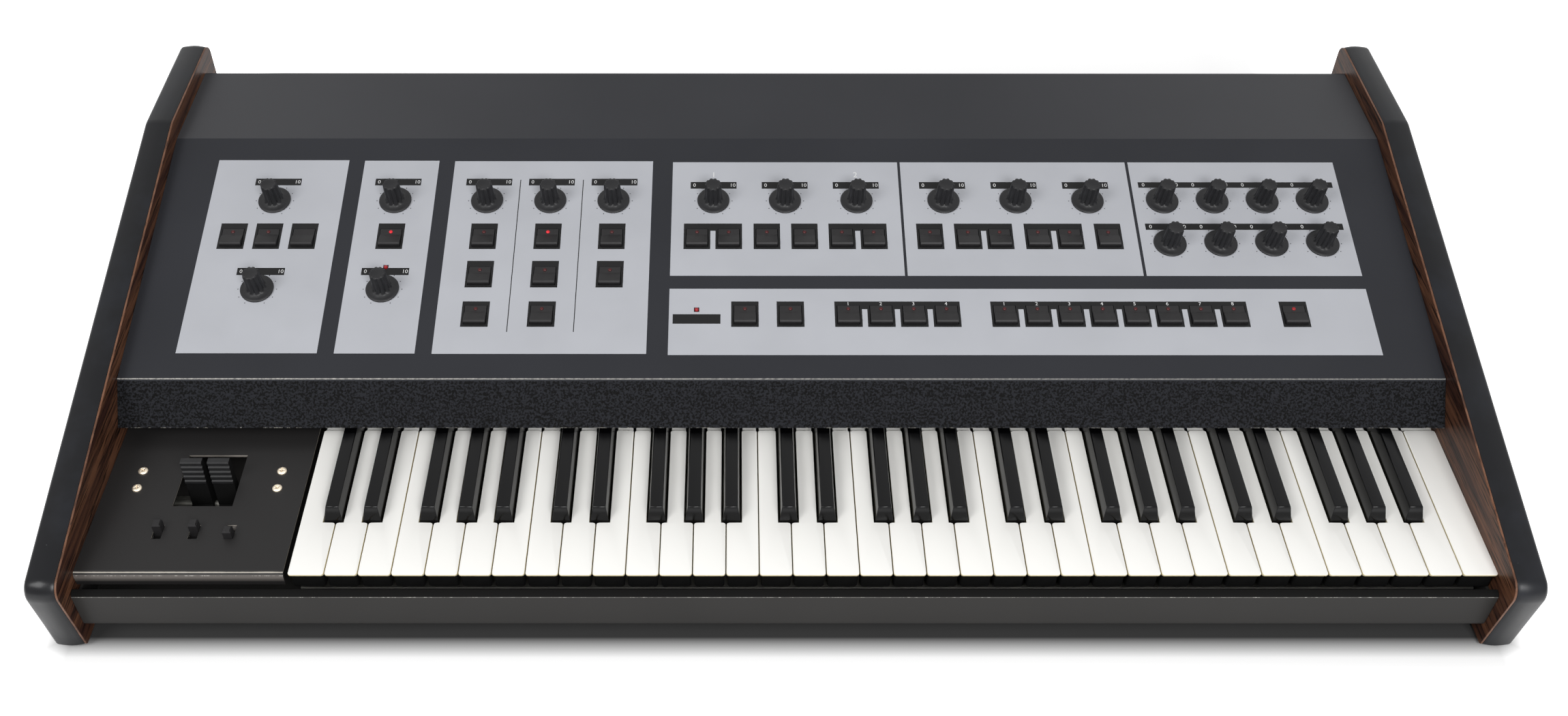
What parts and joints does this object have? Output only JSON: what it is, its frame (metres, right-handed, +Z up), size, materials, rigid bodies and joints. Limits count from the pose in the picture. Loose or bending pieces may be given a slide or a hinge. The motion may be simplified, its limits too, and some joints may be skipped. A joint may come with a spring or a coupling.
{
  "type": "analog synthesizer",
  "caption": "Keyboard synthesizer with a sloping control panel of knobs and push buttons, bend and modulation levers and wooden cheeks round a sheet-metal case.",
  "frame": {"origin": "centre of the overall box on the plane that the rubber feet stand on", "axes": "+X to the player's right along the keyboard, +Y away from the player, +Z up"},
  "size_m": [1.05, 0.5326, 0.1735],
  "materials": {
    "cheek_wood": "satin lacquered walnut veneer",
    "moulding": "satin black vinyl moulding",
    "panel_paint": "satin charcoal enamel with grey printing",
    "plate_paint": "fine black texture enamel",
    "steel": "zinc plated",
    "keys_white": "gloss white acrylic",
    "keys_black": "gloss black acrylic",
    "control_plastic": "matte black moulded plastic",
    "board": "green circuit board laminate"
  },
  "bodies": {
    "chassis": {"left_cheek": "cheek_wood", "right_cheek": "cheek_wood", "left_moulding": "moulding", "right_moulding": "moulding", "control_panel": "panel_paint", "rear_panel": "panel_paint", "base_pan": "steel", "front_rail": "panel_paint", "bender_plate": "plate_paint", "lever_bracket": "steel", "key_frame": "steel", "panel_board": "board", "main_board": "board", "power_transformer": "steel", "mains_inlet": "control_plastic"},
    "key_c": {"key_c": "keys_white"},
    "key_c_sharp": {"key_c_sharp": "keys_black"},
    "key_d": {"key_d": "keys_white"},
    "key_d_sharp": {"key_d_sharp": "keys_black"},
    "key_e": {"key_e": "keys_white"},
    "key_f": {"key_f": "keys_white"},
    "key_f_sharp": {"key_f_sharp": "keys_black"},
    "key_g": {"key_g": "keys_white"},
    "key_g_sharp": {"key_g_sharp": "keys_black"},
    "key_a": {"key_a": "keys_white"},
    "key_a_sharp": {"key_a_sharp": "keys_black"},
    "key_b": {"key_b": "keys_white"},
    "volume_knob": {"volume_knob": "control_plastic"},
    "tune_knob": {"tune_knob": "control_plastic"},
    "portamento_knob": {"portamento_knob": "control_plastic"},
    "detune_knob": {"detune_knob": "control_plastic"},
    "lfo_rate_knob": {"lfo_rate_knob": "control_plastic"},
    "pitch_depth_knob": {"pitch_depth_knob": "control_plastic"},
    "pulse_depth_knob": {"pulse_depth_knob": "control_plastic"},
    "pitch_1_knob": {"pitch_1_knob": "control_plastic"},
    "pulse_width_knob": {"pulse_width_knob": "control_plastic"},
    "pitch_2_knob": {"pitch_2_knob": "control_plastic"},
    "cutoff_knob": {"cutoff_knob": "control_plastic"},
    "resonance_knob": {"resonance_knob": "control_plastic"},
    "filter_amount_knob": {"filter_amount_knob": "control_plastic"},
    "filter_attack_knob": {"filter_attack_knob": "control_plastic"},
    "filter_decay_knob": {"filter_decay_knob": "control_plastic"},
    "filter_sustain_knob": {"filter_sustain_knob": "control_plastic"},
    "filter_release_knob": {"filter_release_knob": "control_plastic"},
    "loudness_attack_knob": {"loudness_attack_knob": "control_plastic"},
    "loudness_decay_knob": {"loudness_decay_knob": "control_plastic"},
    "loudness_sustain_knob": {"loudness_sustain_knob": "control_plastic"},
    "loudness_release_knob": {"loudness_release_knob": "control_plastic"},
    "auto_button": {"auto_button": "control_plastic"},
    "hold_button": {"hold_button": "control_plastic"},
    "reset_button": {"reset_button": "control_plastic"},
    "group_a_button": {"group_a_button": "control_plastic"},
    "group_b_button": {"group_b_button": "control_plastic"},
    "group_c_button": {"group_c_button": "control_plastic"},
    "group_d_button": {"group_d_button": "control_plastic"},
    "bend_lever": {"bend_lever": "control_plastic"},
    "modulation_lever": {"modulation_lever": "control_plastic"},
    "oscillator_switch": {"oscillator_switch": "control_plastic"},
    "range_switch": {"range_switch": "control_plastic"},
    "octave_switch": {"octave_switch": "control_plastic"}
  },
  "joints": [
    {"name": "key_c_press", "type": "hinge", "parent": "chassis", "child": "key_c", "pos_m": [-0.0063, -0.03672, 0.048], "axis": [1, 0, 0], "range_deg": [0, 2.8], "stiffness_Nm_per_rad": 1.2, "springref_deg": -8.59},
    {"name": "key_c_sharp_press", "type": "hinge", "parent": "chassis", "child": "key_c_sharp", "pos_m": [0.00259, -0.03672, 0.048], "axis": [1, 0, 0], "range_deg": [0, 2.8], "stiffness_Nm_per_rad": 1.2, "springref_deg": -8.59},
    {"name": "key_d_press", "type": "hinge", "parent": "chassis", "child": "key_d", "pos_m": [0.01727, -0.03672, 0.048], "axis": [1, 0, 0], "range_deg": [0, 2.8], "stiffness_Nm_per_rad": 1.2, "springref_deg": -8.59},
    {"name": "key_d_sharp_press", "type": "hinge", "parent": "chassis", "child": "key_d_sharp", "pos_m": [0.03196, -0.03672, 0.048], "axis": [1, 0, 0], "range_deg": [0, 2.8], "stiffness_Nm_per_rad": 1.2, "springref_deg": -8.59},
    {"name": "key_e_press", "type": "hinge", "parent": "chassis", "child": "key_e", "pos_m": [0.04084, -0.03672, 0.048], "axis": [1, 0, 0], "range_deg": [0, 2.8], "stiffness_Nm_per_rad": 1.2, "springref_deg": -8.59},
    {"name": "key_f_press", "type": "hinge", "parent": "chassis", "child": "key_f", "pos_m": [0.06441, -0.03672, 0.048], "axis": [1, 0, 0], "range_deg": [0, 2.8], "stiffness_Nm_per_rad": 1.2, "springref_deg": -8.59},
    {"name": "key_f_sharp_press", "type": "hinge", "parent": "chassis", "child": "key_f_sharp", "pos_m": [0.0727, -0.03672, 0.048], "axis": [1, 0, 0], "range_deg": [0, 2.8], "stiffness_Nm_per_rad": 1.2, "springref_deg": -8.59},
    {"name": "key_g_press", "type": "hinge", "parent": "chassis", "child": "key_g", "pos_m": [0.08799, -0.03672, 0.048], "axis": [1, 0, 0], "range_deg": [0, 2.8], "stiffness_Nm_per_rad": 1.2, "springref_deg": -8.59},
    {"name": "key_g_sharp_press", "type": "hinge", "parent": "chassis", "child": "key_g_sharp", "pos_m": [0.09977, -0.03672, 0.048], "axis": [1, 0, 0], "range_deg": [0, 2.8], "stiffness_Nm_per_rad": 1.2, "springref_deg": -8.59},
    {"name": "key_a_press", "type": "hinge", "parent": "chassis", "child": "key_a", "pos_m": [0.11156, -0.03672, 0.048], "axis": [1, 0, 0], "range_deg": [0, 2.8], "stiffness_Nm_per_rad": 1.2, "springref_deg": -8.59},
    {"name": "key_a_sharp_press", "type": "hinge", "parent": "chassis", "child": "key_a_sharp", "pos_m": [0.12684, -0.03672, 0.048], "axis": [1, 0, 0], "range_deg": [0, 2.8], "stiffness_Nm_per_rad": 1.2, "springref_deg": -8.59},
    {"name": "key_b_press", "type": "hinge", "parent": "chassis", "child": "key_b", "pos_m": [0.13513, -0.03672, 0.048], "axis": [1, 0, 0], "range_deg": [0, 2.8], "stiffness_Nm_per_rad": 1.2, "springref_deg": -8.59},
    {"name": "volume_knob_turn", "type": "hinge", "parent": "chassis", "child": "volume_knob", "pos_m": [-0.40899, 0.07803, 0.14206], "axis": [0, -0.2351, 0.972], "range_deg": [-150, 150]},
    {"name": "tune_knob_turn", "type": "hinge", "parent": "chassis", "child": "tune_knob", "pos_m": [-0.40899, -0.00702, 0.12148], "axis": [0, -0.2351, 0.972], "range_deg": [-150, 150]},
    {"name": "portamento_knob_turn", "type": "hinge", "parent": "chassis", "child": "portamento_knob", "pos_m": [-0.31098, 0.07803, 0.14206], "axis": [0, -0.2351, 0.972], "range_deg": [-150, 150]},
    {"name": "detune_knob_turn", "type": "hinge", "parent": "chassis", "child": "detune_knob", "pos_m": [-0.31098, -0.00702, 0.12148], "axis": [0, -0.2351, 0.972], "range_deg": [-150, 150]},
    {"name": "lfo_rate_knob_turn", "type": "hinge", "parent": "chassis", "child": "lfo_rate_knob", "pos_m": [-0.23649, 0.07803, 0.14206], "axis": [0, -0.2351, 0.972], "range_deg": [-150, 150]},
    {"name": "pitch_depth_knob_turn", "type": "hinge", "parent": "chassis", "child": "pitch_depth_knob", "pos_m": [-0.18519, 0.07803, 0.14206], "axis": [0, -0.2351, 0.972], "range_deg": [-150, 150]},
    {"name": "pulse_depth_knob_turn", "type": "hinge", "parent": "chassis", "child": "pulse_depth_knob", "pos_m": [-0.13389, 0.07803, 0.14206], "axis": [0, -0.2351, 0.972], "range_deg": [-150, 150]},
    {"name": "pitch_1_knob_turn", "type": "hinge", "parent": "chassis", "child": "pitch_1_knob", "pos_m": [-0.05279, 0.07803, 0.14206], "axis": [0, -0.2351, 0.972], "range_deg": [-150, 150]},
    {"name": "pulse_width_knob_turn", "type": "hinge", "parent": "chassis", "child": "pulse_width_knob", "pos_m": [0.00532, 0.07803, 0.14206], "axis": [0, -0.2351, 0.972], "range_deg": [-150, 150]},
    {"name": "pitch_2_knob_turn", "type": "hinge", "parent": "chassis", "child": "pitch_2_knob", "pos_m": [0.06342, 0.07803, 0.14206], "axis": [0, -0.2351, 0.972], "range_deg": [-150, 150]},
    {"name": "cutoff_knob_turn", "type": "hinge", "parent": "chassis", "child": "cutoff_knob", "pos_m": [0.13402, 0.07803, 0.14206], "axis": [0, -0.2351, 0.972], "range_deg": [-150, 150]},
    {"name": "resonance_knob_turn", "type": "hinge", "parent": "chassis", "child": "resonance_knob", "pos_m": [0.19251, 0.07803, 0.14206], "axis": [0, -0.2351, 0.972], "range_deg": [-150, 150]},
    {"name": "filter_amount_knob_turn", "type": "hinge", "parent": "chassis", "child": "filter_amount_knob", "pos_m": [0.25101, 0.07803, 0.14206], "axis": [0, -0.2351, 0.972], "range_deg": [-150, 150]},
    {"name": "filter_attack_knob_turn", "type": "hinge", "parent": "chassis", "child": "filter_attack_knob", "pos_m": [0.31171, 0.07803, 0.14206], "axis": [0, -0.2351, 0.972], "range_deg": [-150, 150]},
    {"name": "filter_decay_knob_turn", "type": "hinge", "parent": "chassis", "child": "filter_decay_knob", "pos_m": [0.35231, 0.07803, 0.14206], "axis": [0, -0.2351, 0.972], "range_deg": [-150, 150]},
    {"name": "filter_sustain_knob_turn", "type": "hinge", "parent": "chassis", "child": "filter_sustain_knob", "pos_m": [0.39291, 0.07803, 0.14206], "axis": [0, -0.2351, 0.972], "range_deg": [-150, 150]},
    {"name": "filter_release_knob_turn", "type": "hinge", "parent": "chassis", "child": "filter_release_knob", "pos_m": [0.43351, 0.07803, 0.14206], "axis": [0, -0.2351, 0.972], "range_deg": [-150, 150]},
    {"name": "loudness_attack_knob_turn", "type": "hinge", "parent": "chassis", "child": "loudness_attack_knob", "pos_m": [0.31171, 0.03623, 0.13195], "axis": [0, -0.2351, 0.972], "range_deg": [-150, 150]},
    {"name": "loudness_decay_knob_turn", "type": "hinge", "parent": "chassis", "child": "loudness_decay_knob", "pos_m": [0.35231, 0.03623, 0.13195], "axis": [0, -0.2351, 0.972], "range_deg": [-150, 150]},
    {"name": "loudness_sustain_knob_turn", "type": "hinge", "parent": "chassis", "child": "loudness_sustain_knob", "pos_m": [0.39291, 0.03623, 0.13195], "axis": [0, -0.2351, 0.972], "range_deg": [-150, 150]},
    {"name": "loudness_release_knob_turn", "type": "hinge", "parent": "chassis", "child": "loudness_release_knob", "pos_m": [0.43351, 0.03623, 0.13195], "axis": [0, -0.2351, 0.972], "range_deg": [-150, 150]},
    {"name": "auto_button_press", "type": "hinge", "parent": "chassis", "child": "auto_button", "pos_m": [-0.43739, 0.05013, 0.13531], "axis": [1, 0, 0], "range_deg": [0, 5], "stiffness_Nm_per_rad": 0.15, "springref_deg": -2.86},
    {"name": "hold_button_press", "type": "hinge", "parent": "chassis", "child": "hold_button", "pos_m": [-0.40899, 0.05013, 0.13531], "axis": [1, 0, 0], "range_deg": [0, 5], "stiffness_Nm_per_rad": 0.15, "springref_deg": -2.86},
    {"name": "reset_button_press", "type": "hinge", "parent": "chassis", "child": "reset_button", "pos_m": [-0.38059, 0.05013, 0.13531], "axis": [1, 0, 0], "range_deg": [0, 5], "stiffness_Nm_per_rad": 0.15, "springref_deg": -2.86},
    {"name": "group_a_button_press", "type": "hinge", "parent": "chassis", "child": "group_a_button", "pos_m": [0.05262, -0.02209, 0.11784], "axis": [1, 0, 0], "range_deg": [0, 5], "stiffness_Nm_per_rad": 0.15, "springref_deg": -2.86},
    {"name": "group_b_button_press", "type": "hinge", "parent": "chassis", "child": "group_b_button", "pos_m": [0.07802, -0.02209, 0.11784], "axis": [1, 0, 0], "range_deg": [0, 5], "stiffness_Nm_per_rad": 0.15, "springref_deg": -2.86},
    {"name": "group_c_button_press", "type": "hinge", "parent": "chassis", "child": "group_c_button", "pos_m": [0.10342, -0.02209, 0.11784], "axis": [1, 0, 0], "range_deg": [0, 5], "stiffness_Nm_per_rad": 0.15, "springref_deg": -2.86},
    {"name": "group_d_button_press", "type": "hinge", "parent": "chassis", "child": "group_d_button", "pos_m": [0.12882, -0.02209, 0.11784], "axis": [1, 0, 0], "range_deg": [0, 5], "stiffness_Nm_per_rad": 0.15, "springref_deg": -2.86},
    {"name": "bend_lever_tilt", "type": "hinge", "parent": "chassis", "child": "bend_lever", "pos_m": [-0.43499, -0.15172, 0.033], "axis": [1, 0, 0], "range_deg": [-30, 30], "stiffness_Nm_per_rad": 0.5},
    {"name": "modulation_lever_tilt", "type": "hinge", "parent": "chassis", "child": "modulation_lever", "pos_m": [-0.41499, -0.15172, 0.033], "axis": [1, 0, 0], "range_deg": [-30, 30], "stiffness_Nm_per_rad": 0.5},
    {"name": "oscillator_switch_slide", "type": "slide", "parent": "chassis", "child": "oscillator_switch", "axis": [0, 1, 0], "range_m": [-0.006, 0]},
    {"name": "range_switch_slide", "type": "slide", "parent": "chassis", "child": "range_switch", "axis": [0, 1, 0], "range_m": [-0.006, 0]},
    {"name": "octave_switch_slide", "type": "slide", "parent": "chassis", "child": "octave_switch", "axis": [0, 1, 0], "range_m": [0, 0.006]}
  ]
}
